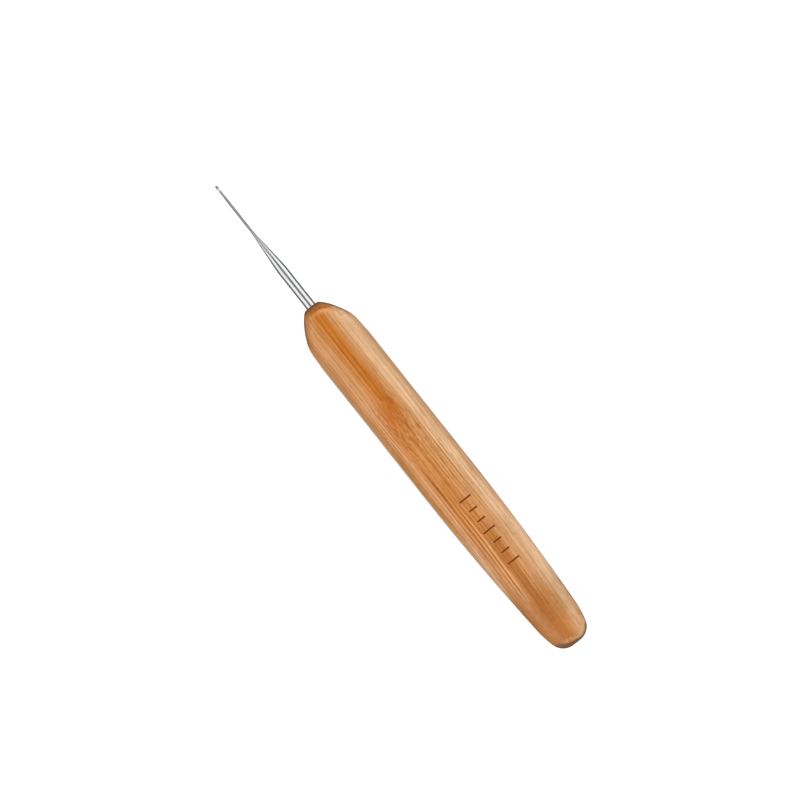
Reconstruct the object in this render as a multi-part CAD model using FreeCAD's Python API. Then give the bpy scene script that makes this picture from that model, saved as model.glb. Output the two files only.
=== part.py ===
import FreeCAD, Part
import math
import os

from FreeCAD import Vector

# A fine steel crochet hook in a bamboo handle, in millimetres. It lies on the handle's flat underside:
# X runs along the tool from the hook's tip (-X) to the butt (+X), Z is up and the throat opens upwards.
# The origin is on the underside, half way along the tool.

# Overall driving dimensions
TOTAL_LENGTH = 135.0
HANDLE_LENGTH = 99.3
HANDLE_WIDTH = 14.0
HANDLE_THICKNESS = 8.0
HOOK_SIZE = 0.75
SHANK_DIAMETER = 2.5

# Handle, with lengths measured back from its nose
EDGE_ROUNDING = 3.9
NOSE_LENGTH = 11.5
NOSE_FACE_RADIUS = 1.9
NOSE_CLEARANCE = 0.1
TAPER_START = 51.0
TAPER_RADIUS = 610.0
SHOULDER_START = 91.25
SHOULDER_RADIUS = 27.5
BUTT_CORNER_RADIUS = 4.0

# Steel, with lengths measured back from the hook's tip
TIP_ROUNDING = 0.55
NECK_DIAMETER = 0.68
NECK_END = 4.5
STEM_END = 14.0
CONE_END = 24.6
TANG_LENGTH = 24.0
TANG_DIAMETER = 2.1
TANG_CHAMFER = 0.3

# Throat, cut from above: distances back from the tip, and heights above the steel's axis
LIP_BACK = 1.0
LIP_UNDERCUT = 0.12
THROAT_FRONT_UP = 0.02
THROAT_BOTTOM_UP = -0.09
THROAT_BOTTOM_BACK = 1.05
THROAT_RISE_BACK = 1.3
THROAT_RISE_UP = -0.045
THROAT_RAMP_END = 3.1

# Bore and glue line: the mouth clears the shank by BORE_GAP, and the glue starts GLUE_RECESS inside it
BORE_GAP = 0.2
GLUE_RECESS = 0.15
BORE_DEPTH = 25.0
DRILL_POINT_ANGLE = 118.0

TIP_X = -TOTAL_LENGTH / 2
NOSE_X = TOTAL_LENGTH / 2 - HANDLE_LENGTH
AXIS_Z = HANDLE_THICKNESS / 2
HOOK_RADIUS = HOOK_SIZE / 2
SHANK_RADIUS = SHANK_DIAMETER / 2
TANG_RADIUS = TANG_DIAMETER / 2
ALONG = Vector(1, 0, 0)
EPSILON = 1e-6


def line(start, end):
    return Part.LineSegment(start, end).toShape()


def arc(start, middle, end):
    return Part.Arc(start, middle, end).toShape()


def on_circle(centre, radius, degrees):
    """A point in the plane Z = 0, at an angle measured from +X towards +Y."""
    angle = math.radians(degrees)
    return centre + Vector(radius * math.cos(angle), radius * math.sin(angle), 0)


def bend(centre, radius, start, end):
    """An arc about a centre between two angles in degrees."""
    middle = (start + end) / 2
    return arc(*[on_circle(centre, radius, degrees) for degrees in (start, middle, end)])


def handle_side():
    """The handle's +Y side from above: a straight, a long arc, a tighter shoulder and the butt's corner."""
    side_y = HANDLE_WIDTH / 2
    butt_x = NOSE_X + HANDLE_LENGTH
    taper_centre = Vector(NOSE_X + TAPER_START, side_y - TAPER_RADIUS, 0)
    shoulder_angle = math.degrees(math.acos((SHOULDER_START - TAPER_START) / TAPER_RADIUS))
    shoulder_centre = on_circle(taper_centre, TAPER_RADIUS - SHOULDER_RADIUS, shoulder_angle)
    corner_run = butt_x - BUTT_CORNER_RADIUS - shoulder_centre.x
    corner_angle = math.degrees(math.acos(corner_run / (SHOULDER_RADIUS - BUTT_CORNER_RADIUS)))
    corner_centre = on_circle(shoulder_centre, SHOULDER_RADIUS - BUTT_CORNER_RADIUS, corner_angle)
    blank_front = Vector(NOSE_X - NOSE_LENGTH, side_y, 0)
    return [
        line(blank_front, on_circle(taper_centre, TAPER_RADIUS, 90)),
        bend(taper_centre, TAPER_RADIUS, 90, shoulder_angle),
        bend(shoulder_centre, SHOULDER_RADIUS, shoulder_angle, corner_angle),
        bend(corner_centre, BUTT_CORNER_RADIUS, corner_angle, 0),
    ]


def mirrored(edges):
    return [edge.mirror(Vector(0, 0, 0), Vector(0, 1, 0)) for edge in edges]


def handle_blank():
    """A flat bar cut to the handle's outline, with its long edges and its butt rounded over."""
    side = handle_side()
    front = line(side[0].Vertexes[0].Point, mirrored(side)[0].Vertexes[0].Point)
    butt_y = side[-1].Vertexes[-1].Point.y
    butt_x = NOSE_X + HANDLE_LENGTH
    butt = line(Vector(butt_x, butt_y, 0), Vector(butt_x, -butt_y, 0))
    outline = Part.Wire(Part.__sortEdges__(side + mirrored(side) + [front, butt]))
    bar = Part.Face(outline).extrude(Vector(0, 0, HANDLE_THICKNESS))
    rounded = [edge for edge in bar.Edges
               if edge.BoundBox.ZLength < EPSILON and edge.BoundBox.XMax > NOSE_X]
    return bar.makeFillet(EDGE_ROUNDING, rounded)


def turned_nose():
    """The round envelope that the nose is turned to: an ogive that ends just clear of the grip's sides."""
    full_radius = HANDLE_WIDTH / 2 + NOSE_CLEARANCE
    rise = full_radius - NOSE_FACE_RADIUS
    ogive_radius = (NOSE_LENGTH ** 2 + rise ** 2) / (2 * rise)
    half_run = NOSE_LENGTH / 2
    middle_drop = ogive_radius - math.sqrt(ogive_radius ** 2 - half_run ** 2)
    back_x = NOSE_X + HANDLE_LENGTH + NOSE_LENGTH

    def at(x, radius):
        return Vector(x, 0, AXIS_Z + radius)

    nose_face = at(NOSE_X, NOSE_FACE_RADIUS)
    ogive_middle = at(NOSE_X + half_run, full_radius - middle_drop)
    ogive_end = at(NOSE_X + NOSE_LENGTH, full_radius)
    profile = Part.Wire([
        line(at(NOSE_X, 0), nose_face),
        arc(nose_face, ogive_middle, ogive_end),
        line(ogive_end, at(back_x, full_radius)),
        line(at(back_x, full_radius), at(back_x, 0)),
        line(at(back_x, 0), at(NOSE_X, 0)),
    ])
    return Part.Face(profile).revolve(Vector(0, 0, AXIS_Z), ALONG, 360)


def bore(mouth_back):
    """The drilled hole with its conical bottom, from a distance behind the nose's face."""
    radius = SHANK_RADIUS + BORE_GAP
    point_length = radius / math.tan(math.radians(DRILL_POINT_ANGLE / 2))
    mouth = Vector(NOSE_X + mouth_back, 0, AXIS_Z)
    straight = Part.makeCylinder(radius, BORE_DEPTH - mouth_back, mouth, ALONG)
    point = Part.makeCone(radius, 0, point_length, Vector(NOSE_X + BORE_DEPTH, 0, AXIS_Z), ALONG)
    return straight.fuse(point)


def bamboo_handle():
    """The solid bamboo grip: a flat bar with rounded edges, a turned nose and a blind bore."""
    return handle_blank().common(turned_nose()).cut(bore(0.0))


def steel_blank():
    """The ground wire before its throat is cut: tip, neck, stem, cone, shank and tang, all turned."""
    shank_end = TOTAL_LENGTH - HANDLE_LENGTH + GLUE_RECESS
    tang_end = TOTAL_LENGTH - HANDLE_LENGTH + TANG_LENGTH
    tip_middle_back = TIP_ROUNDING * (1 - math.cos(math.pi / 4))
    tip_middle_radius = HOOK_RADIUS * math.sin(math.pi / 4)
    stations = [
        (TIP_ROUNDING, HOOK_RADIUS),
        (LIP_BACK, HOOK_RADIUS),
        (THROAT_RISE_BACK, NECK_DIAMETER / 2),
        (NECK_END, HOOK_RADIUS),
        (STEM_END, HOOK_RADIUS),
        (CONE_END, SHANK_RADIUS),
        (shank_end, SHANK_RADIUS),
        (shank_end, TANG_RADIUS),
        (tang_end - TANG_CHAMFER, TANG_RADIUS),
        (tang_end, TANG_RADIUS - TANG_CHAMFER),
        (tang_end, 0),
        (0, 0),
    ]
    points = [Vector(TIP_X + back, 0, AXIS_Z + radius) for back, radius in stations]
    tip_middle = Vector(TIP_X + tip_middle_back, 0, AXIS_Z + tip_middle_radius)
    outline = [arc(points[-1], tip_middle, points[0])]
    outline += [line(start, end) for start, end in zip(points, points[1:])]
    return Part.Face(Part.Wire(outline)).revolve(Vector(0, 0, AXIS_Z), ALONG, 360)


def throat():
    """What the throat's milling takes away: a pocket undercut beneath the lip, ramping up to the neck."""
    clear_up = 2 * HOOK_RADIUS

    def at(back, up):
        return Vector(TIP_X + back, -HOOK_SIZE, AXIS_Z + up)

    lip_slope = LIP_UNDERCUT / (HOOK_RADIUS - THROAT_FRONT_UP)
    front_top = at(LIP_BACK + lip_slope * (clear_up - HOOK_RADIUS), clear_up)
    front_low = at(LIP_BACK - LIP_UNDERCUT, THROAT_FRONT_UP)
    bottom = at(THROAT_BOTTOM_BACK, THROAT_BOTTOM_UP)
    rise = at(THROAT_RISE_BACK, THROAT_RISE_UP)
    ramp_top = at(THROAT_RAMP_END, HOOK_RADIUS)
    ramp_out = at(THROAT_RAMP_END, clear_up)
    outline = Part.Wire([
        line(front_top, front_low),
        arc(front_low, bottom, rise),
        line(rise, ramp_top),
        line(ramp_top, ramp_out),
        line(ramp_out, front_top),
    ])
    return Part.Face(outline).extrude(Vector(0, 2 * HOOK_SIZE, 0))


def steel_hook():
    """The one-piece steel hook, throat cut."""
    return steel_blank().cut(throat())


def adhesive_sleeve(hook):
    """The cured glue: all of the bore that the tang leaves free, a little short of the mouth."""
    return bore(GLUE_RECESS).cut(hook)


def build():
    hook = steel_hook()
    return {
        "steel_hook": hook,
        "bamboo_handle": bamboo_handle(),
        "adhesive_sleeve": adhesive_sleeve(hook),
    }


os.makedirs("parts", exist_ok=True)
for name, shape in build().items():
    solid = shape.removeSplitter().Solids[0]
    solid.exportStep(os.path.join("parts", name + ".step"))
    box = solid.optimalBoundingBox()
    print(f"{name}: valid {solid.isValid()}, volume {solid.Volume:.2f} mm3, {len(solid.Faces)} faces,",
          f"{box.XLength:.2f} x {box.YLength:.2f} x {box.ZLength:.2f} mm")
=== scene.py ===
import bpy
import math
import numpy as np
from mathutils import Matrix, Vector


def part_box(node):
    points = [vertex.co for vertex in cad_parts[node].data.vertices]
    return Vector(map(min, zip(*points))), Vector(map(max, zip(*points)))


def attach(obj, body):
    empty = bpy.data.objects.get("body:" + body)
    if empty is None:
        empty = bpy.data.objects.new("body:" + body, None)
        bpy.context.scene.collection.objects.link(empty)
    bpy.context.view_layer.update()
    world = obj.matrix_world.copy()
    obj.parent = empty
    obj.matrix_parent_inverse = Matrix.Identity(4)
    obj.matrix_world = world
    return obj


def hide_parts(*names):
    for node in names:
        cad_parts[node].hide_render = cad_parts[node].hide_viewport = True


# A fine steel crochet hook in a satin bamboo handle. The CAD frame gives every place: X runs along the tool
# from the hook's tip to the butt, and Z is up. Shapes and patterns are worked out in millimetres.
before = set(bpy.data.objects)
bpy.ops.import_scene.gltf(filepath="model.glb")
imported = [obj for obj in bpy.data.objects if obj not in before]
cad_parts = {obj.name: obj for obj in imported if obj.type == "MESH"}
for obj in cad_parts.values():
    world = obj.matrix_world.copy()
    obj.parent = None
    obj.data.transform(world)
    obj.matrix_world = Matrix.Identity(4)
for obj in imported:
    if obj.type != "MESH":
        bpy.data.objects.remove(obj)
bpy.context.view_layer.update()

MM = 0.001
SEED = 11


def box_in_mm(node):
    low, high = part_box(node)
    return np.array(low) / MM, np.array(high) / MM


handle_low, handle_high = box_in_mm("bamboo_handle")
hook_low, hook_high = box_in_mm("steel_hook")
NOSE_X = handle_low[0]
BUTT_X = handle_high[0]
HALF_WIDTH = handle_high[1]
AXIS_Z = (handle_low[2] + handle_high[2]) / 2
HALF_THICKNESS = (handle_high[2] - handle_low[2]) / 2
TIP_X = hook_low[0]
TANG_END_X = hook_high[0]
TOOL_CENTRE_X = (TIP_X + BUTT_X) / 2

# Handle shape, as in the CAD, with lengths measured back from the nose
EDGE_ROUNDING = 3.9
NOSE_LENGTH = 11.5
NOSE_FACE_RADIUS = 1.9
NOSE_CLEARANCE = 0.1
TAPER_START = 51.0
TAPER_RADIUS = 610.0
SHOULDER_START = 91.25
SHOULDER_RADIUS = 27.5
BUTT_CORNER_RADIUS = 4.0
BORE_RADIUS = 1.45
BORE_DEPTH = 25.0
BORE_CHAMFER = (0.08, 0.06)
DRILL_POINT_ANGLE = 118.0

# Handle finish
CREASE_SOFTNESS = 0.7
NOSE_EDGE_ROUNDING = 0.3
NOSE_WAIST = 0.1
NOSE_WAIST_LENGTH = 8.5
ENVELOPE_FLARE = 0.3
SANDING_DEPTH = 0.03
SANDING_WAVES = (7, (60, 26, 26))
FIBRE_RELIEF = 0.012
FIBRE_WAVES = (24, (90, 1.6, 1.6))
NODE_BACK = 31.0
NODE_LENGTH = 7.0
NODE_HOLLOW = 0.05
HOLLOW_WAVES = (9, (9, 5, 5))
RELIEF_START = 1.5

# Gauge mark burnt into the upper flat: seven strokes, of which the first, middle and last are longer
MARK_START = 57.0
MARK_PITCH = 3.0
MARK_LAST = 6
MARK_LONG_EVERY = 3
MARK_Y = 0.3
MARK_LONG = 3.3
MARK_SHORT = 2.3
MARK_STROKE = 0.40
MARK_DEPTH = 0.07
MARK_SLOPE = (0.05, -0.06)

# Steel shape, as in the CAD, with lengths measured back from the tip
HOOK_RADIUS = 0.375
SHANK_RADIUS = 1.25
TANG_RADIUS = 1.05
TANG_CHAMFER = 0.3
TIP_ROUNDING = 0.55
NECK_RADIUS = 0.34
NECK_END = 4.5
STEM_END = 14.0
CONE_END = 24.6
PROFILE_BLEND = 0.9
GLUE_RECESS = 0.15
LIP_BACK = 1.0
LIP_UNDERCUT = 0.12
THROAT_FRONT_UP = 0.02
THROAT_BOTTOM = (1.05, -0.09)
THROAT_RISE = (1.3, -0.045)
THROAT_RAMP_END = 3.1
POLISHED_EDGE = 0.05

# Mesh density
HANDLE_AROUND = 256
HANDLE_STEP = 0.33
NOSE_RINGS = 5
BUTT_RINGS = 30
BUTT_LAST_ANGLE = 0.03
HOOK_AROUND = 96
TIP_RINGS = 12
TIP_FIRST_ANGLE = 0.12
HEAD_RINGS = 6
POCKET_RINGS = 7
RAMP_RINGS = 15
STEM_RINGS = 12
STEM_STRETCH = (THROAT_RAMP_END + 0.2, STEM_END - 1.5)
CONE_RINGS = 50
CONE_STRETCH = (STEM_END - 1.2, CONE_END + 1.2)
SHARP_ANGLE = 35
STROKE_RINGS = (0.0, 0.08, 0.14, 0.2, 0.26)
PROFILE_SAMPLES = 15
BISECTIONS = 30

# Camera: straight down, turned so that the tool runs from upper left to lower right
LENS = 200.0
SENSOR = 36.0
CLIP_END = 20.0
VIEW_WIDTH = 185.44
VIEW_TURN = math.radians(51.62)
VIEW_RIGHT = 0.86
VIEW_UP = 3.25

# Studio
SIDE_LIGHT_TOP = (0.42, 0.95)
SIDE_LIGHT_FOOT = (1.00, 0.21)
SIDE_LIGHT_LENGTH = 2.4
RIGHT_RADIANCE = 1.86
LEFT_RADIANCE = 1.74
WORLD_GREY = (0.20, 0.20, 0.20)
SWEEP_FLAT = (0.3, 1.2)
SWEEP_RADIUS = 3.0
SWEEP_COVE = 0.6
SWEEP_HEIGHT = 1.8
SWEEP_GLOW = 0.6
SWEEP_TONE = (244, 244, 243)
SWEEP_TURN_RINGS = 16
SWEEP_AROUND = 96


# ---------------------------------------------------------------- meshes

def add_object(name, data):
    made = bpy.data.objects.new(name, data)
    bpy.context.scene.collection.objects.link(made)
    return made


def smooth_mesh(name, points, faces):
    """A smooth mesh from points in metres."""
    mesh = bpy.data.meshes.new(name)
    mesh.from_pydata(points.tolist(), [], faces)
    mesh.update()
    mesh.shade_smooth()
    return mesh


def ring_quads(ring_count, count):
    """The faces between rings of equally many points, numbered from 1 because a closing point is 0."""
    quads = []
    for k in range(ring_count - 1):
        start = 1 + k * count
        for j in range(count):
            after = (j + 1) % count
            quads.append((start + j, start + after, start + count + after, start + count + j))
    return quads


def ring_mesh(name, rings, first, last):
    """A closed skin over rings of equally many points, with a point closing each end."""
    count = len(rings[0])
    points = np.vstack([[first], *rings, [last]]) * MM
    faces = [(0, 1 + (j + 1) % count, 1 + j) for j in range(count)]
    faces += ring_quads(len(rings), count)
    start = 1 + (len(rings) - 1) * count
    end = len(points) - 1
    faces += [(end, start + j, start + (j + 1) % count) for j in range(count)]
    mesh = smooth_mesh(name, points, faces)
    mesh.set_sharp_from_angle(angle=math.radians(SHARP_ANGLE))
    return add_object(name, mesh)


def reach(centres, directions, outside, limit):
    """How far each ray from centres goes before it leaves a solid; outside is negative within the solid."""
    near = np.zeros(directions.shape[:-1])
    far = np.full(directions.shape[:-1], float(limit))
    for _ in range(BISECTIONS):
        middle = (near + far) / 2
        is_out = outside(centres + directions * middle[..., None]) > 0
        far = np.where(is_out, middle, far)
        near = np.where(is_out, near, middle)
    return (near + far) / 2


def soft_max(a, b, softness):
    """The larger of two depths, with the crease between them rounded."""
    overlap = np.maximum(softness - np.abs(a - b), 0) / softness
    return np.maximum(a, b) + overlap ** 2 * softness / 4


def smooth_step(value, low, high):
    t = np.clip((value - low) / (high - low), 0, 1)
    return t * t * (3 - 2 * t)


def waves(rng, points, count, lengths):
    """A sum of sine waves of random direction and phase, about 1 high, with lengths along X, Y and Z."""
    total = np.zeros(points.shape[:-1])
    for _ in range(count):
        turns = rng.normal(size=3) / np.array(lengths)
        total += np.sin(2 * math.pi * (points @ turns + rng.random()))
    return total / math.sqrt(count)


# ---------------------------------------------------------------- handle

def on_circle(centre, radius, angle):
    return centre + radius * np.array([math.cos(angle), math.sin(angle)])


def plan_arcs():
    """The arcs of the handle's side, as (centre, radius, the angle where each one starts)."""
    taper = np.array([NOSE_X + TAPER_START, HALF_WIDTH - TAPER_RADIUS])
    shoulder_angle = math.acos((SHOULDER_START - TAPER_START) / TAPER_RADIUS)
    shoulder = on_circle(taper, TAPER_RADIUS - SHOULDER_RADIUS, shoulder_angle)
    corner_run = BUTT_X - BUTT_CORNER_RADIUS - shoulder[0]
    corner_angle = math.acos(corner_run / (SHOULDER_RADIUS - BUTT_CORNER_RADIUS))
    corner = on_circle(shoulder, SHOULDER_RADIUS - BUTT_CORNER_RADIUS, corner_angle)
    return [
        (taper, TAPER_RADIUS, math.pi / 2),
        (shoulder, SHOULDER_RADIUS, shoulder_angle),
        (corner, BUTT_CORNER_RADIUS, corner_angle),
    ]


def plan_depth(x, y):
    """How far inside the handle's outline a point lies, seen from above."""
    y = np.abs(y)
    depth = HALF_WIDTH - y
    for centre, radius, start in plan_arcs():
        along, across = x - centre[0], y - centre[1]
        is_past = across * math.cos(start) < along * math.sin(start)
        depth = np.where(is_past, radius - np.hypot(along, np.maximum(across, 0)), depth)
    return depth


def nose_radius(back):
    """The turned nose's radius at a distance behind its face."""
    full = HALF_WIDTH + NOSE_CLEARANCE
    rise = full - NOSE_FACE_RADIUS
    ogive = (NOSE_LENGTH ** 2 + rise ** 2) / (2 * rise)
    left = np.clip(NOSE_LENGTH - back, 0, NOSE_LENGTH)
    flare = ENVELOPE_FLARE * np.maximum(back - NOSE_LENGTH, 0)
    edge = np.clip(1 - back / NOSE_EDGE_ROUNDING, 0, 1)
    edge_cut = NOSE_EDGE_ROUNDING * (1 - np.sqrt(1 - edge ** 2))
    waist = NOSE_WAIST * np.sin(math.pi * np.clip(back / NOSE_WAIST_LENGTH, 0, 1)) ** 2
    return full - ogive + np.sqrt(ogive ** 2 - left ** 2) + flare - edge_cut - waist


def outside_handle(points):
    """Negative inside the handle: a flat bar with rounded edges, turned to an ogive at the nose."""
    x, y, z = points[..., 0], points[..., 1], points[..., 2] - AXIS_Z
    inset = np.maximum(EDGE_ROUNDING - plan_depth(x, y), 0)
    rise = np.maximum(np.abs(z) - (HALF_THICKNESS - EDGE_ROUNDING), 0)
    bar = np.hypot(inset, rise) - EDGE_ROUNDING
    nose = np.hypot(y, z) - nose_radius(x - NOSE_X)
    return soft_max(bar, nose, CREASE_SOFTNESS)


def mark_distance(x, y):
    """Distance from the edge of the nearest stroke of the gauge mark, negative inside it."""
    along = x - NOSE_X - MARK_START
    number = np.clip(np.round(along / MARK_PITCH), 0, MARK_LAST)
    is_long = np.mod(number, MARK_LONG_EVERY) == 0
    half_length = np.where(is_long, MARK_LONG, MARK_SHORT) / 2
    overrun = np.maximum(np.abs(y - MARK_Y) - half_length + MARK_STROKE / 2, 0)
    return np.hypot(along - number * MARK_PITCH, overrun) - MARK_STROKE / 2


def handle_relief(points):
    """How deep the finish lies below the CAD's surface: sanding, fibres, the node's hollow and the mark."""
    rng = np.random.default_rng(SEED)
    x, y, z = points[..., 0], points[..., 1], points[..., 2]
    sanding = SANDING_DEPTH * (1 + waves(rng, points, *SANDING_WAVES) / 2) / 2
    fibres = FIBRE_RELIEF * (1 + waves(rng, points, *FIBRE_WAVES) / 2)
    node = np.exp(-((x - NOSE_X - NODE_BACK) / NODE_LENGTH) ** 2)
    hollow = NODE_HOLLOW * node * (1 + waves(rng, points, *HOLLOW_WAVES) / 2)
    is_top = z > AXIS_Z
    mark = MARK_DEPTH * smooth_step(mark_distance(x, y), *MARK_SLOPE) * is_top
    ends = smooth_step(x - NOSE_X, 0, RELIEF_START) * smooth_step(BUTT_X - x, 0, RELIEF_START)
    return (np.clip(sanding + fibres, 0, None) + hollow + mark) * ends


def handle_stations():
    """Distances behind the nose of the handle's rings, closer at its ends and round each stroke."""
    length = BUTT_X - NOSE_X
    nose = NOSE_EDGE_ROUNDING * (1 - np.cos(np.linspace(0, math.pi / 2, NOSE_RINGS)))
    butt = length - BUTT_CORNER_RADIUS * (1 - np.cos(np.linspace(math.pi / 2, BUTT_LAST_ANGLE, BUTT_RINGS)))
    body = np.arange(nose[-1] + HANDLE_STEP, butt[0] - HANDLE_STEP / 2, HANDLE_STEP)
    strokes = MARK_START + MARK_PITCH * np.arange(MARK_LAST + 1)
    offsets = np.array([-ring for ring in STROKE_RINGS[:0:-1]] + list(STROKE_RINGS))
    fine = (strokes[:, None] + offsets[None, :]).ravel()
    is_clear = np.abs(body[:, None] - strokes[None, :]).min(axis=1) > offsets[-1] + HANDLE_STEP / 3
    return np.sort(np.concatenate([nose, body[is_clear], fine, butt]))


def circle(x, radius, count):
    angles = np.linspace(0, 2 * math.pi, count, endpoint=False)
    return np.stack([np.full(count, x), radius * np.cos(angles), AXIS_Z + radius * np.sin(angles)], axis=-1)


def make_handle():
    """The bamboo handle's skin, with its blind bore, in one closed mesh."""
    stations = NOSE_X + handle_stations()
    angles = np.linspace(0, 2 * math.pi, HANDLE_AROUND, endpoint=False)
    across = np.stack([np.zeros_like(angles), np.cos(angles), np.sin(angles)], axis=-1)
    directions = np.broadcast_to(across, (len(stations), HANDLE_AROUND, 3))
    centres = np.zeros((len(stations), 1, 3))
    centres[:, 0, 0] = stations
    centres[:, 0, 2] = AXIS_Z
    lengths = reach(centres, directions, outside_handle, HALF_WIDTH + 1)
    skin = centres + directions * lengths[..., None]
    depth = np.minimum(handle_relief(skin), lengths / 2)
    skin = skin - directions * depth[..., None]
    bottom_x = NOSE_X + BORE_DEPTH
    point_x = bottom_x + BORE_RADIUS / math.tan(math.radians(DRILL_POINT_ANGLE / 2))
    bore = [
        circle(bottom_x, BORE_RADIUS, HANDLE_AROUND),
        circle(NOSE_X + BORE_CHAMFER[0], BORE_RADIUS, HANDLE_AROUND),
        circle(NOSE_X, BORE_RADIUS + BORE_CHAMFER[1], HANDLE_AROUND),
    ]
    return ring_mesh("handle", bore + list(skin), (point_x, 0, AXIS_Z), (BUTT_X, 0, AXIS_Z))


# ---------------------------------------------------------------- steel hook

def blank_radius(back):
    """The turned steel's radius, with the corners of its profile polished smooth."""
    corners = [LIP_BACK, THROAT_RISE[0], NECK_END, STEM_END, CONE_END]
    radii = [HOOK_RADIUS, NECK_RADIUS, HOOK_RADIUS, HOOK_RADIUS, SHANK_RADIUS]
    window = PROFILE_BLEND * smooth_step(back, THROAT_RAMP_END, NECK_END + PROFILE_BLEND)
    offsets = np.linspace(-1, 1, PROFILE_SAMPLES)
    turned = np.mean([np.interp(back + window * offset, corners, radii) for offset in offsets], axis=0)
    tip = np.clip(1 - back / TIP_ROUNDING, 0, 1)
    return turned * np.sqrt(1 - tip ** 2)


def throat_path():
    """The throat's floor from the lip's top edge to its end, as (back, up, bottom back) for each ring."""
    lip = np.linspace((LIP_BACK, HOOK_RADIUS), (LIP_BACK - LIP_UNDERCUT, THROAT_FRONT_UP), POCKET_RINGS)
    turn = np.linspace(0, 1, POCKET_RINGS)[1:, None]
    front, low, rise = lip[-1], np.array(THROAT_BOTTOM), np.array(THROAT_RISE)
    control = 2 * low - (front + rise) / 2
    pocket = (1 - turn) ** 2 * front + 2 * turn * (1 - turn) * control + turn ** 2 * rise
    ramp = np.linspace(rise, (THROAT_RAMP_END, HOOK_RADIUS), RAMP_RINGS)[1:]
    floor = np.vstack([lip, pocket, ramp])
    bottoms = np.concatenate([
        np.linspace(LIP_BACK - 3 * LIP_UNDERCUT, LIP_BACK - 2 * LIP_UNDERCUT, len(lip)),
        np.linspace(LIP_BACK - 2 * LIP_UNDERCUT, THROAT_RISE[0], len(pocket) + 1)[1:],
        ramp[:, 0],
    ])
    return np.column_stack([floor, bottoms])


def hook_ring(top, bottom, is_cut):
    """The steel's section through a top and a bottom point, flat at the top where the throat cuts it."""
    centre = (top + bottom) / 2
    upward = (top - bottom) / np.linalg.norm(top - bottom)
    angles = np.linspace(0, 2 * math.pi, HOOK_AROUND, endpoint=False)
    sideways = np.array([0.0, 1.0, 0.0])
    directions = np.cos(angles)[:, None] * sideways + np.sin(angles)[:, None] * upward

    def outside(points):
        round_part = np.hypot(points[:, 1], points[:, 2] - AXIS_Z) - blank_radius(points[:, 0] - TIP_X)
        if not is_cut:
            return round_part
        return soft_max(round_part, (points - top) @ upward, POLISHED_EDGE)

    lengths = reach(centre[None, :], directions, outside, 2 * SHANK_RADIUS)
    return centre + directions * lengths[:, None]


def make_hook():
    """The steel from tip to tang in one closed mesh."""
    path = throat_path()
    tip_backs = TIP_ROUNDING * (1 - np.cos(np.linspace(TIP_FIRST_ANGLE, math.pi / 2, TIP_RINGS)))
    head_backs = np.linspace(TIP_ROUNDING, LIP_BACK, HEAD_RINGS)[1:]
    head_bottoms = np.linspace(TIP_ROUNDING, path[0, 2], HEAD_RINGS)[1:]

    def at(back, up):
        return np.array([TIP_X + back, 0.0, AXIS_Z + up])

    rings = [hook_ring(at(b, blank_radius(b)), at(b, -blank_radius(b)), False) for b in tip_backs]
    for back, low_back in zip(head_backs, head_bottoms):
        rings.append(hook_ring(at(back, blank_radius(back)), at(low_back, -blank_radius(low_back)), False))
    for back, up, low_back in path[1:]:
        rings.append(hook_ring(at(back, up), at(low_back, -blank_radius(low_back)), True))
    exposed_end = NOSE_X - TIP_X + GLUE_RECESS
    backs = np.concatenate([
        np.linspace(*STEM_STRETCH, STEM_RINGS),
        np.linspace(*CONE_STRETCH, CONE_RINGS),
        [exposed_end],
    ])
    rings += [circle(TIP_X + b, blank_radius(b), HOOK_AROUND) for b in backs]
    rings.append(circle(TIP_X + exposed_end, TANG_RADIUS, HOOK_AROUND))
    rings.append(circle(TANG_END_X - TANG_CHAMFER, TANG_RADIUS, HOOK_AROUND))
    rings.append(circle(TANG_END_X, TANG_RADIUS - TANG_CHAMFER, HOOK_AROUND))
    return ring_mesh("hook", rings, at(0, 0), (TANG_END_X, 0, AXIS_Z))


# ---------------------------------------------------------------- material nodes

class Term:
    """A number worked out by a material's nodes. Arithmetic on it adds nodes."""

    def __init__(self, shader, socket):
        self.shader = shader
        self.socket = socket

    def __add__(self, other):
        return self.shader.math("ADD", self, other)

    def __sub__(self, other):
        return self.shader.math("SUBTRACT", self, other)

    def __mul__(self, other):
        return self.shader.math("MULTIPLY", self, other)

    def __abs__(self):
        return self.shader.math("ABSOLUTE", self)

    __radd__ = __add__
    __rmul__ = __mul__

    def __rsub__(self, other):
        return self.shader.math("SUBTRACT", other, self)


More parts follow.
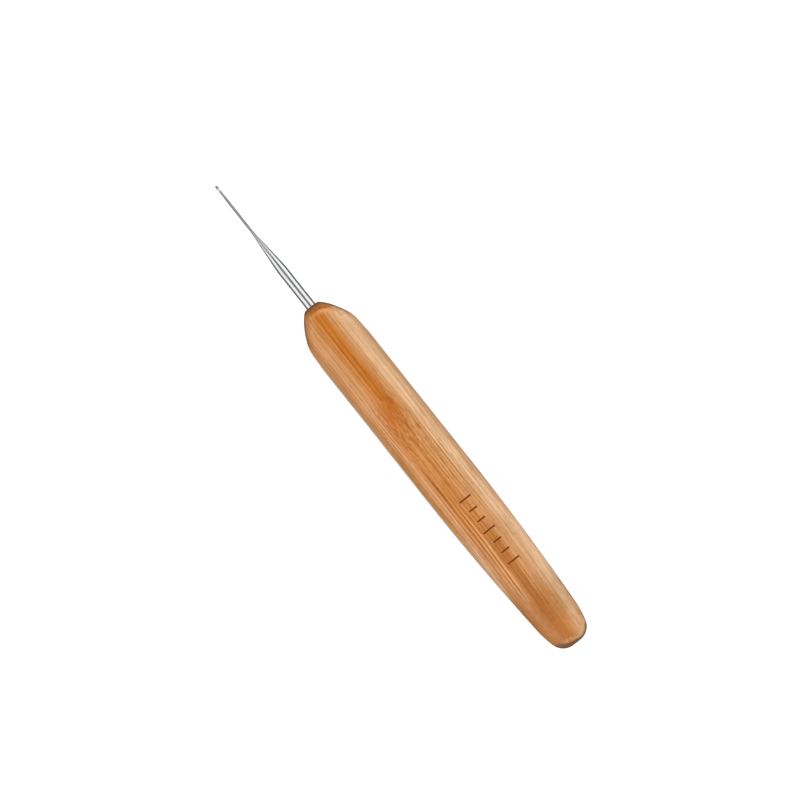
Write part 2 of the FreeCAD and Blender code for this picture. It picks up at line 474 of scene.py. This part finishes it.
class Shader:
    """One material's nodes, round its Principled BSDF."""

    def __init__(self, name):
        self.material = bpy.data.materials.new(name)
        self.material.use_nodes = True
        self.tree = self.material.node_tree
        self.surface = self.tree.nodes["Principled BSDF"]

    def feed(self, socket, value):
        if isinstance(value, Term):
            self.tree.links.new(value.socket, socket)
        elif isinstance(value, bpy.types.NodeSocket):
            self.tree.links.new(value, socket)
        else:
            socket.default_value = value

    def node(self, kind, inputs, **settings):
        made = self.tree.nodes.new(kind)
        for key, value in settings.items():
            setattr(made, key, value)
        for socket, value in inputs.items():
            self.feed(made.inputs[socket], value)
        return made

    def math(self, operation, *values):
        made = self.node("ShaderNodeMath", dict(enumerate(values)), operation=operation)
        return Term(self, made.outputs[0])

    def place(self):
        """The point being shaded, in millimetres in the tool's frame."""
        coordinates = self.node("ShaderNodeTexCoord", {}).outputs["Object"]
        scaled = self.node("ShaderNodeVectorMath", {0: coordinates, "Scale": 1 / MM}, operation="SCALE")
        parts = self.node("ShaderNodeSeparateXYZ", {0: scaled.outputs[0]})
        return [Term(self, parts.outputs[axis]) for axis in "XYZ"]

    def vector(self, x, y, z):
        return self.node("ShaderNodeCombineXYZ", {0: x, 1: y, 2: z}).outputs[0]

    def noise(self, vector, scale, detail=2.0, roughness=0.5, distortion=0.0):
        """Noise from about -0.5 to 0.5."""
        inputs = {"Vector": vector, "Scale": scale, "Detail": detail}
        inputs.update({"Roughness": roughness, "Distortion": distortion})
        return Term(self, self.node("ShaderNodeTexNoise", inputs).outputs[0]) - 0.5

    def cells(self, vector, scale):
        """Crisp cells, each with its own number from -0.5 to 0.5."""
        made = self.node("ShaderNodeTexVoronoi", {"Vector": vector, "Scale": scale})
        red = self.node("ShaderNodeSeparateColor", {0: made.outputs["Color"]}).outputs[0]
        return Term(self, red) - 0.5

    def step(self, value, low, high):
        """0 at low, 1 at high and smooth between; low may be the larger."""
        made = self.node("ShaderNodeMapRange", {0: value, 1: low, 2: high}, interpolation_type="SMOOTHSTEP")
        return Term(self, made.outputs[0])

    def between(self, value, start, full, fade, end):
        """0 before start, 1 from full to fade, and 0 again past end."""
        return self.step(value, start, full) * self.step(value, end, fade)

    def ramp(self, value, low, high, stops):
        """The colour at value, along stops of (place, colour)."""
        made = self.node("ShaderNodeValToRGB", {0: (value - low) * (1 / (high - low))})
        elements = made.color_ramp.elements
        elements.remove(elements[1])
        for number, (place, colour) in enumerate(stops):
            position = (place - low) / (high - low)
            element = elements[0] if number == 0 else elements.new(position)
            element.position = position
            element.color = linear(colour)
        return made.outputs[0]

    def mix(self, factor, a, b):
        made = self.node("ShaderNodeMix", {0: factor, 6: a, 7: b}, data_type="RGBA")
        return made.outputs[2]

    def tint(self, colour, amount, channels):
        """colour made lighter by amount, or darker where it is negative, by each channel's share."""
        share = self.vector(*[amount * channel + 1.0 for channel in channels])
        base = colour[:3] if isinstance(colour, tuple) else colour
        return self.node("ShaderNodeVectorMath", {0: base, 1: share}, operation="MULTIPLY").outputs[0]

    def unveil(self, colour, veil):
        """colour less the light that the surface adds to it, and never below black."""
        less = self.node("ShaderNodeVectorMath", {0: colour, 1: veil}, operation="SUBTRACT").outputs[0]
        return self.node("ShaderNodeVectorMath", {0: less, 1: (0, 0, 0)}, operation="MAXIMUM").outputs[0]

    def bump(self, height, distance, strength=1.0):
        """The normal for a relief of height 0 to 1, distance millimetres high."""
        inputs = {"Height": height, "Distance": distance * MM, "Strength": strength}
        return self.node("ShaderNodeBump", inputs).outputs[0]

    def finish(self, **inputs):
        for name, value in inputs.items():
            self.feed(self.surface.inputs[name.replace("_", " ")], value)
        return self.material


def linear(colour):
    """A colour written as three sRGB values from 0 to 255, as the linear colour that nodes take."""
    parts = [value / 255 for value in colour]
    parts = [p / 12.92 if p <= 0.04045 else ((p + 0.055) / 1.055) ** 2.4 for p in parts]
    return (*parts, 1.0)


# ---------------------------------------------------------------- bamboo

# Tones of the bamboo, from the rounded sides' painted shade and grey reflection and the pale outer wood,
# partly painted sheen, to the dark core
# Painted shade and grey reflection on the rounded sides, where they turn away from the lights
SIDE_SHADE_AND_REFLECTION = (202, 164, 128)
# Partly the pale outer wood and partly painted sheen from the brighter light on the +Y shoulder
PALE_AND_SHEEN = (228, 184, 142)
BUFF = (216, 168, 124)
HONEY = (206, 148, 98)
AMBER = (198, 132, 76)
RUSSET = (183, 116, 64)
TOFFEE = (189, 114, 50)

# Broad bands of those tones from the handle's -Y edge to its +Y edge, at four stretches along it
NOSE_BAND = (
    (-7.0, SIDE_SHADE_AND_REFLECTION), (-5.6, AMBER), (-4.7, HONEY), (-2.8, HONEY), (-1.9, AMBER), (-0.7, TOFFEE), (0.9, TOFFEE),
    (2.0, HONEY), (3.4, BUFF), (4.8, PALE_AND_SHEEN), (5.7, BUFF), (7.0, SIDE_SHADE_AND_REFLECTION),
)
MIDDLE_BAND = (
    (-7.0, SIDE_SHADE_AND_REFLECTION), (-5.8, AMBER), (-4.7, HONEY), (-3.8, AMBER), (0.0, AMBER), (1.2, HONEY), (2.3, HONEY),
    (3.5, BUFF), (4.8, PALE_AND_SHEEN), (5.7, BUFF), (7.0, SIDE_SHADE_AND_REFLECTION),
)
BUTT_BAND = (
    (-7.0, SIDE_SHADE_AND_REFLECTION), (-5.3, BUFF), (-4.3, AMBER), (-2.4, HONEY), (-0.9, RUSSET), (0.4, RUSSET), (1.5, HONEY),
    (4.1, BUFF), (6.0, PALE_AND_SHEEN), (7.0, SIDE_SHADE_AND_REFLECTION),
)
END_BAND = (
    (-7.0, SIDE_SHADE_AND_REFLECTION), (-5.2, AMBER), (-3.0, AMBER), (-1.0, RUSSET), (0.9, RUSSET), (1.8, AMBER), (2.9, HONEY),
    (4.2, BUFF), (5.4, BUFF), (6.2, PALE_AND_SHEEN), (7.0, SIDE_SHADE_AND_REFLECTION),
)
# Where each stretch takes over from the one before, in millimetres behind the nose
MIDDLE_STARTS = (28.0, 38.0)
BUTT_STARTS = (60.0, 72.0)
END_STARTS = (80.0, 88.0)

# The satin surface adds this much plain light to its colour in studio light, so the colours leave it out
SURFACE_VEIL = (0.031, 0.031, 0.031)
# A lighter fibre gains more green than red, and more blue than green
FIBRE_TINT = (0.75, 1.0, 1.55)
# Single fibre bundles and soft bands that show as lines, and one painted highlight line along the +Y
# shoulder: (y, half width, start and end behind the nose, tone)
FIBRE_AND_HIGHLIGHT_LINES = (
    (5.3, 1.4, 8, 46, -0.12),
    (3.4, 1.1, 83, 96, -0.22),
    # A painted highlight: the light line where the +Y shoulder catches the lights, along the whole length
    (5.2, 0.35, -5, 96, 0.08),
    (-2.05, 0.24, 55, 86, 0.34),
    (-2.5, 0.20, 52, 86, -0.26),
    (-2.9, 0.24, 55, 85, 0.28),
    (0.95, 0.22, 75, 88, 0.28),
    (0.5, 0.22, 76, 88, -0.22),
    (-0.8, 0.22, 3, 22, -0.20),
    (-1.25, 0.24, 4, 26, 0.22),
    (-1.95, 0.24, 2, 24, -0.20),
    (2.75, 0.28, 4, 24, -0.14),
)
LINE_FADE = 6.0
# Rows of bundles run the whole length side by side, this far apart
ROW_PITCH = 0.92
ROW_TONE = 0.085
# The fibres lean across the handle towards its butt
LEAN_START = 68.0
LEAN = 0.038

# Where local marks start to show, show fully, start to fade and have gone, in millimetres behind the nose
NODE_BOWS = (22.0, 31.0, 34.0, 44.0)
NODE_SHOWS = (24.5, 27.0, 37.0, 43.0)
NODE_REDDENS = (27.0, 30.0, 33.0, 38.0)
STRONGER_FIBRES = (14.0, 40.0, 54.0, 72.0)
DARKENING_SHOWS = (78.0, 83.0, 91.0, 94.5)
SMUDGE_SHOWS = (84.0, 86.0, 89.0, 91.0)

# The nose's cut ends NOSE_CUT_BACK behind its face, and NOSE_CUT_SLANT further back for each millimetre of y,
# which counts as at least NOSE_CUT_SQUARE
NOSE_CUT_BACK = 1.2
NOSE_CUT_SQUARE = 0.75
NOSE_CUT_SLANT = 0.48
# The butt's cut starts where the level part of the surface's normal passes BUTT_CUT_LEVEL, and at less than
# that, by BUTT_CUT_SKEW, on the -Y side
BUTT_CUT_LEVEL = 0.85
BUTT_CUT_SKEW = 0.19

NODE_REDDISH = (192, 110, 56)
# Darker end grain, partly painted shade
NOSE_END_GRAIN_AND_SHADE = (184, 117, 66)
# Painted highlight on the nose's rim
NOSE_HIGHLIGHT = (236, 164, 108)
# Painted shade on edges turned away from the lights
EDGE_SHADE = (118, 88, 62)
# Darker end grain, partly painted shade
BUTT_END_GRAIN_AND_SHADE = (138, 103, 77)
# Painted light on the butt's rim, which faces away from the side lights
BUTT_PAINTED_LIGHT = (236, 186, 146)
SMUDGE = (130, 106, 88)
# A darker tone over a stretch before the butt
BUTT_DARKENING = (140, 98, 58)
SCORCHED = (184, 112, 62)
BURNT = (120, 60, 8)


def bamboo_across(shader, x, y, z, back):
    """The place across the fibres, which bow out and waver round the node, and lean towards the butt."""
    near_node = shader.between(back, *NODE_BOWS) * shader.step(abs(y + 0.6), 4.6, 2.4)
    waver = shader.noise(shader.vector(x * 0.35, y * 0.8, z * 0.8), 1.0)
    lean = shader.math("MAXIMUM", back - LEAN_START, 0.0) * LEAN
    return y * (1.0 - near_node * 0.2) + waver * near_node * 1.1 + lean


def bamboo_bands(shader, x, y, z, back, across):
    """The broad colours: four stretches of bands, two of them with a ragged start."""

    def band(stops):
        return shader.ramp(across, -HALF_WIDTH, HALF_WIDTH, stops)

    middle_edge = shader.noise(shader.vector(x * 0.15, across * 0.9, z * 0.9), 1.0, detail=2.0) * 14.0
    end_edge = shader.noise(shader.vector(x * 0.3, y * 0.5, z * 0.5), 1.0) * 6.0
    in_middle = shader.step(back + middle_edge, *MIDDLE_STARTS)
    in_end = shader.step(back + end_edge, *END_STARTS)
    colour = shader.mix(in_middle, band(NOSE_BAND), band(MIDDLE_BAND))
    colour = shader.mix(shader.step(back, *BUTT_STARTS), colour, band(BUTT_BAND))
    return shader.mix(in_end, colour, band(END_BAND))


def bamboo_lines(shader, back, across):
    """The tone of the fibre bundles and soft bands that show as long lines, and of one painted highlight
    line.
    """
    total = 0.0
    for centre, half_width, start, end, tone in FIBRE_AND_HIGHLIGHT_LINES:
        line = shader.step(abs(across - centre), half_width, 0.0)
        stretch = shader.between(back, start, start + LINE_FADE, end - LINE_FADE, end)
        total = line * stretch * tone + total
    return total


def bamboo_rows(shader, x, across, z):
    """The tone of the rows of bundles: straight lines at an even pitch, some of them stronger than others."""
    sway = shader.noise(shader.vector(x * 0.01, across * 0.3, z * 0.3), 1.0) * 0.5
    turns = (across + z * 0.4 + sway) * (2 * math.pi / ROW_PITCH)
    strength = shader.noise(shader.vector(x * 0.03, across, z), 0.8, detail=1.0) * 2.4 + 1.0
    return shader.math("SINE", turns) * strength * ROW_TONE


def bamboo_fibres(shader, x, across, z):
    """The tone of the fibres, from broad soft bands to hairs, and that of the crisp ones alone."""
    broad = shader.noise(shader.vector(x * 0.005, across, z), 0.95, detail=1.0)
    middle = shader.noise(shader.vector(x * 0.008, across, z), 2.0, detail=1.0)
    fine = shader.noise(shader.vector(x * 0.015, across, z), 4.2, detail=2.0, roughness=0.7)
    hair = shader.noise(shader.vector(x * 0.05, across, z), 9.0, detail=1.0)
    dashes = shader.noise(shader.vector(x * 0.22, across, z), 5.0, detail=1.0)
    threads = shader.cells(shader.vector(x * 0.015, across, z), 3.9)
    crisp = middle * 0.35 + fine * 0.95 + hair * 0.5 + dashes * 0.3 + threads * 0.22
    crisp = crisp + bamboo_rows(shader, x, across, z)
    return broad * 0.30 + crisp, crisp


def bamboo_node(shader, x, y, z, back):
    """Where the node shows, and the tone of its short crisp fibres and dark cracks."""
    grow = shader.step(back, 24.0, 31.0)
    upper = shader.step(y, 0.6 + grow * 2.2, -0.6 + grow * 2.2)
    lower = shader.step(y, -0.6 - grow * 3.8, 0.6 - grow * 3.8)
    where = shader.between(back, *NODE_SHOWS) * upper * lower
    place = shader.vector(x * 0.2, y, z)
    streak = shader.noise(place, 2.4, detail=3.0, roughness=0.65, distortion=0.5)
    crack = shader.noise(shader.vector(x * 0.26, y + 5.0, z), 1.7, detail=2.0, distortion=0.4)
    edged = (shader.step(streak, -0.08, 0.1) - 0.5) * 0.16
    tone = streak * 1.2 + edged - shader.step(crack, 0.10, 0.15) * 0.45
    return where, tone * where


def bamboo_grain(shader, x, y, z, back, across):
    """Where the node shows, the tone of all the grain, and that of the crisp fibres alone."""
    calm = 1.0 - shader.step(back, 83.0, 90.0) * shader.step(y, 4.0, 2.4) * 0.75
    strength = shader.between(back, *STRONGER_FIBRES) * 0.5 + shader.step(back, 30.0, 42.0) * 0.3 + 0.8
    fibres, crisp = bamboo_fibres(shader, x, across, z)
    in_node, node_tone = bamboo_node(shader, x, y, z, back)
    blotch = shader.noise(shader.vector(x * 0.22, y * 0.35, z * 0.35), 1.0) * 0.3
    wear_and_shade = shader.step(back, 80.0, 88.0) * 0.55
    mottle = shader.noise(shader.vector(x * 0.8, y, z), 1.0, detail=3.0, roughness=0.6) * wear_and_shade
    fibres = fibres * strength * calm * (1.0 - in_node * 0.5)
    tone = fibres + bamboo_lines(shader, back, across) + node_tone + blotch + mottle
    return in_node, tone, crisp


def bamboo_stains(shader, x, y, z, back, in_node, colour):
    """A darker stretch before the butt, the node's redder heart, and a smudge on the upper +Y edge."""
    # Darker over a stretch before the butt
    darkening = shader.between(back, *DARKENING_SHOWS) * 0.2
    heart = in_node * shader.between(back, *NODE_REDDENS) * shader.step(abs(y + 1.4), 2.6, 0.8) * 0.5
    uneven = shader.noise(shader.vector(x * 0.7, y, z), 1.0, detail=2.0)
    upper_edge = shader.step(y, 4.9, 5.6) * shader.step(z, AXIS_Z - 0.5, AXIS_Z + 1.0)
    smudge = shader.between(back, *SMUDGE_SHOWS) * upper_edge * shader.step(uneven, -0.1, 0.1)
    colour = shader.mix(darkening, colour, linear(BUTT_DARKENING))
    colour = shader.mix(heart, colour, linear(NODE_REDDISH))
    return shader.mix(smudge * 0.4, colour, linear(SMUDGE))


def bamboo_nose_end(shader, y, back, grain, colour):
    """The turned nose: a painted highlight on its rim, the cut across the fibres, partly painted shade, and
    painted shade on its edge.
    """
    along, upward, ragged, pores = grain
    past = back - shader.math("MAXIMUM", y, NOSE_CUT_SQUARE) * NOSE_CUT_SLANT - NOSE_CUT_BACK + ragged * 0.35
    # Painted highlight where the nose's rim turns up to the lights, stronger towards the brighter +Y side
    painted_light = shader.between(past, -0.1, 0.3, 0.6, 1.6) * shader.step(upward, 0.3, 0.7)
    painted_light = painted_light * (shader.step(y, -0.8, 1.4) * 0.5 + 0.35 + pores * 0.3)
    colour = shader.mix(painted_light, colour, linear(NOSE_HIGHLIGHT))
    # The cut across the fibres: darker end grain, partly painted shade
    end_grain_and_shade = shader.step(past, 0.25, -0.15) * shader.step(along, -0.3, -0.45)
    mottle = pores * 0.42 + ragged * 0.85
    colour = shader.mix(end_grain_and_shade * 0.95, colour, shader.tint(linear(NOSE_END_GRAIN_AND_SHADE), mottle, FIBRE_TINT))
    # Painted shade on the nose's steep and downward faces and on the first millimetre behind its face
    side = shader.step(upward, 0.5, 0.2) * shader.step(along, -0.05, -0.55)
    wear_and_shade = shader.math("MAXIMUM", side, shader.step(back, 1.1, 0.4))
    return shader.mix(wear_and_shade * 0.8, colour, linear(EDGE_SHADE))


def bamboo_butt_end(shader, y, back, grain, colour):
    """The butt: painted light on its rim, painted shade on its sides, and the cut across the fibres, partly
    painted shade.
    """
    along, upward, ragged, pores = grain
    level = shader.math("SQRT", 1.0 - upward * upward)
    past = level - BUTT_CUT_LEVEL + shader.step(y, 2.2, -2.6) * BUTT_CUT_SKEW + ragged * 0.10
    at_butt = shader.step(along, 0.25, 0.45)
    # Painted light: the butt's rim lightened because its end faces away from the side lights
    painted_light = shader.between(past, -0.42, -0.14, -0.05, 0.02) * at_butt * shader.step(y, -3.5, -1.5)
    colour = shader.mix(painted_light * (0.42 + pores * 0.5), colour, linear(BUTT_PAINTED_LIGHT))
    # Painted shade on the sides near the butt, where they turn away from the lights
    wear_and_shade = shader.step(upward, 0.5, 0.2) * shader.step(back, 80.0, 90.0)
    colour = shader.mix(wear_and_shade * 0.6, colour, linear(EDGE_SHADE))
    # The cut across the fibres: darker end grain, partly painted shade
    end_grain_and_shade = shader.step(past, -0.03, 0.05) * at_butt
    mottle = pores * 0.25 + ragged * 0.5
    return shader.mix(end_grain_and_shade * 0.9, colour, shader.tint(linear(BUTT_END_GRAIN_AND_SHADE), mottle, FIBRE_TINT))


def bamboo_cut_ends(shader, x, y, z, back, colour):
    """The nose and the butt, where the surface cuts across the fibres, with their painted highlights and
    painted shade.
    """
    normal = shader.node("ShaderNodeNewGeometry", {}).outputs["Normal"]
    facing = shader.node("ShaderNodeSeparateXYZ", {0: normal})
    along, upward = [Term(shader, facing.outputs[axis]) for axis in "XZ"]
    ragged = shader.noise(shader.vector(x * 0.5, y * 1.6, z * 1.6), 1.0, detail=2.0)
    pores = shader.cells(shader.vector(x * 0.1, y, z), 2.6)
    grain = (along, upward, ragged, pores)
    colour = bamboo_nose_end(shader, y, back, grain, colour)
    return bamboo_butt_end(shader, y, back, grain, colour)


def bamboo_mark(shader, back, y):
    """Distance from the edge of the nearest stroke of the gauge mark, negative inside it."""
    along = back - MARK_START
    whole = shader.math("ROUND", along * (1 / MARK_PITCH))
    number = shader.math("MINIMUM", shader.math("MAXIMUM", whole, 0.0), float(MARK_LAST))
    third = number * (1 / MARK_LONG_EVERY)
    from_long = abs(third - shader.math("ROUND", third))
    half_length = shader.step(from_long, 0.2, 0.1) * ((MARK_LONG - MARK_SHORT) / 2) + MARK_SHORT / 2
    overrun = shader.math("MAXIMUM", abs(y - MARK_Y) - half_length + MARK_STROKE / 2, 0.0)
    offset = along - number * MARK_PITCH
    return shader.math("SQRT", offset * offset + overrun * overrun) - MARK_STROKE / 2


def bamboo_burn(shader, x, y, z, back, colour):
    """The burnt mark, with a faint scorched halo, on the upper flat only; also where it is burnt."""
    upper = shader.step(z, AXIS_Z, AXIS_Z + 1)
    edge = bamboo_mark(shader, back, y) + shader.noise(shader.vector(x * 2.2, y * 2.2, z), 1.0) * 0.10
    scorched = shader.step(edge, 0.35, 0.0) * upper * 0.3
    burnt = shader.step(edge, 0.06, -0.05) * upper
    colour = shader.mix(scorched, colour, linear(SCORCHED))
    return shader.mix(burnt, colour, linear(BURNT)), burnt


def bamboo_material():
    """Satin carbonised bamboo: coloured bands, lengthwise fibres, the node, cut ends and the burnt mark."""
    shader = Shader("bamboo")
    x, y, z = shader.place()
    back = x - NOSE_X
    across = bamboo_across(shader, x, y, z, back)
    in_node, tone, crisp = bamboo_grain(shader, x, y, z, back, across)
    colour = bamboo_bands(shader, x, y, z, back, across)
    colour = shader.tint(colour, tone, FIBRE_TINT)
    colour = bamboo_stains(shader, x, y, z, back, in_node, colour)
    colour = bamboo_cut_ends(shader, x, y, z, back, colour)
    colour = shader.unveil(colour, SURFACE_VEIL)
    colour, burnt = bamboo_burn(shader, x, y, z, back, colour)
    return shader.finish(
        Base_Color=colour,
        Roughness=0.46 + crisp * 0.2 + burnt * 0.3,
        Specular_IOR_Level=0.5 - burnt * 0.4,
        Normal=shader.bump(crisp + 0.5, 0.02),
    )


# ---------------------------------------------------------------- steel and glue

POLISHED = (188, 189, 190)
GROUND = (152, 152, 152)
MILLED = (232, 232, 232)
AMBER_GLUE = (178, 132, 70)


def steel_material():
    """Bright round shank, a duller ground stem and hook, and a freshly milled throat, with faint stains."""
    shader = Shader("polished_steel")
    x, y, z = shader.place()
    back = x - TIP_X
    ground = shader.step(back, CONE_END - 1.0, STEM_END - 3.0)
    behind_lip = shader.step(back, LIP_BACK - 0.1, LIP_BACK)
    pocket = behind_lip * shader.step(back, THROAT_RISE[0] + 0.5, THROAT_RISE[0] + 0.1)
    throat = behind_lip * shader.step(back, THROAT_RAMP_END + 1.2, THROAT_RAMP_END - 0.8)
    milled = shader.math("MAXIMUM", pocket, throat * 0.25)
    lines = shader.noise(shader.vector(x * 0.25, y, z), 9.0, detail=3.0)
    turned = shader.noise(shader.vector(x * 6.0, y * 0.3, z * 0.3), 2.0, detail=2.0)
    stain = shader.noise(shader.vector(x * 0.3, y, z), 0.8)
    colour = shader.mix(ground, linear(POLISHED), linear(GROUND))
    colour = shader.mix(milled, colour, linear(MILLED))
    colour = shader.tint(colour, lines * 0.10 + stain * 0.08, (1.0, 1.0, 1.0))
    return shader.finish(
        Base_Color=colour,
        Metallic=1.0,
        Roughness=0.30 + lines * 0.08 + turned * 0.06 + ground * 0.30 + throat * 0.10,
        Normal=shader.bump(lines * 0.6 + turned * 0.4 + 0.5, 0.002),
    )


def glue_material():
    """Cured amber adhesive with fine bubbles."""
    shader = Shader("cured_adhesive")
    x, y, z = shader.place()
    cloud = shader.noise(shader.vector(x, y, z), 1.6, detail=3.0)
    cells = shader.node("ShaderNodeTexVoronoi", {"Vector": shader.vector(x, y, z), "Scale": 3.5})
    bubble = shader.step(Term(shader, cells.outputs["Distance"]), 0.22, 0.12)
    colour = shader.tint(linear(AMBER_GLUE), cloud * 0.8 + bubble * 0.3, (0.8, 1.0, 1.3))
    return shader.finish(
        Base_Color=colour,
        Roughness=0.28 + cloud * 0.2,
        Normal=shader.bump(cloud - bubble * 0.5 + 0.5, 0.03),
    )


def dress(piece, material):
    piece.data.materials.clear()
    piece.data.materials.append(material)


# ---------------------------------------------------------------- studio

def make_camera():
    """Straight above the tool, as far back as the view's width asks for."""
    right = np.array([math.cos(VIEW_TURN), math.sin(VIEW_TURN)])
    up = np.array([-math.sin(VIEW_TURN), math.cos(VIEW_TURN)])
    place = np.array([TOOL_CENTRE_X, 0.0]) + VIEW_RIGHT * right + VIEW_UP * up
    camera = bpy.data.cameras.new("camera")
    camera.lens = LENS
    camera.sensor_width = SENSOR
    camera.clip_end = CLIP_END
    height = AXIS_Z + VIEW_WIDTH * LENS / SENSOR
    holder = add_object("camera", camera)
    holder.location = (place[0] * MM, place[1] * MM, height * MM)
    holder.rotation_euler = (0, 0, VIEW_TURN)
    bpy.context.scene.camera = holder


def side_light(name, side, radiance):
    """A long soft panel beside the tool, from near overhead down to the table."""
    top = np.array([0, side * SIDE_LIGHT_TOP[0], SIDE_LIGHT_TOP[1]])
    foot = np.array([0, side * SIDE_LIGHT_FOOT[0], SIDE_LIGHT_FOOT[1]])
    breadth = np.linalg.norm(top - foot)
    light = bpy.data.lights.new(name, "AREA")
    light.shape = "RECTANGLE"
    light.size = SIDE_LIGHT_LENGTH
    light.size_y = breadth
    light.energy = radiance * math.pi * SIDE_LIGHT_LENGTH * breadth
    panel = add_object(name, light)
    panel.location = (top + foot) / 2
    tilt = math.atan2(top[2] - foot[2], abs(foot[1] - top[1]))
    panel.rotation_euler = (-side * tilt, 0, 0)
    panel.visible_camera = False


def make_sweep():
    """A pale floor that turns up into a pale wall all round, kept out of the tool's reflections."""
    turn = np.linspace(0, math.pi / 2, SWEEP_TURN_RINGS)
    cove = SWEEP_RADIUS - SWEEP_COVE + SWEEP_COVE * np.sin(turn)
    radii = np.concatenate([SWEEP_FLAT, cove, [SWEEP_RADIUS]])
    heights = np.concatenate([[0, 0], SWEEP_COVE * (1 - np.cos(turn)), [SWEEP_HEIGHT]])
    around = np.linspace(0, 2 * math.pi, SWEEP_AROUND, endpoint=False)
    rings = [
        np.stack([r * np.cos(around), r * np.sin(around), np.full_like(around, h)], axis=-1)
        for r, h in zip(radii, heights)
    ]
    points = np.vstack([[(0, 0, 0)], *rings])
    faces = [(0, 1 + j, 1 + (j + 1) % SWEEP_AROUND) for j in range(SWEEP_AROUND)]
    faces += [(a, d, c, b) for a, b, c, d in ring_quads(len(rings), SWEEP_AROUND)]
    sweep = add_object("studio_sweep", smooth_mesh("studio_sweep", points, faces))
    sweep.visible_diffuse = False
    sweep.visible_glossy = False
    sweep.visible_transmission = False
    dress(sweep, sweep_material())


def sweep_material():
    shader = Shader("pale_sweep")
    x, y, z = shader.place()
    mottle = shader.noise(shader.vector(x, y, z), 0.004)
    colour = shader.tint(linear(SWEEP_TONE), mottle * 0.03, (1.0, 1.0, 1.0))
    return shader.finish(
        Base_Color=colour,
        Roughness=0.9,
        Emission_Color=(1.0, 1.0, 1.0, 1.0),
        Emission_Strength=SWEEP_GLOW,
    )


def make_world():
    world = bpy.data.worlds.new("studio")
    world.use_nodes = True
    background = world.node_tree.nodes["Background"]
    background.inputs["Color"].default_value = (*WORLD_GREY, 1.0)
    bpy.context.scene.world = world


# ---------------------------------------------------------------- assembly

def assemble():
    handle = make_handle()
    dress(handle, bamboo_material())
    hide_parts("bamboo_handle")
    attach(handle, "root")

    hook = make_hook()
    dress(hook, steel_material())
    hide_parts("steel_hook")
    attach(hook, "root")

    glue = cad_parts["adhesive_sleeve"]
    material = glue_material()
    for slot in glue.material_slots:
        slot.material = material


assemble()
make_camera()
side_light("light_right", 1, RIGHT_RADIANCE)
side_light("light_left", -1, LEFT_RADIANCE)
make_sweep()
make_world()
bpy.context.scene.view_settings.view_transform = "Standard"
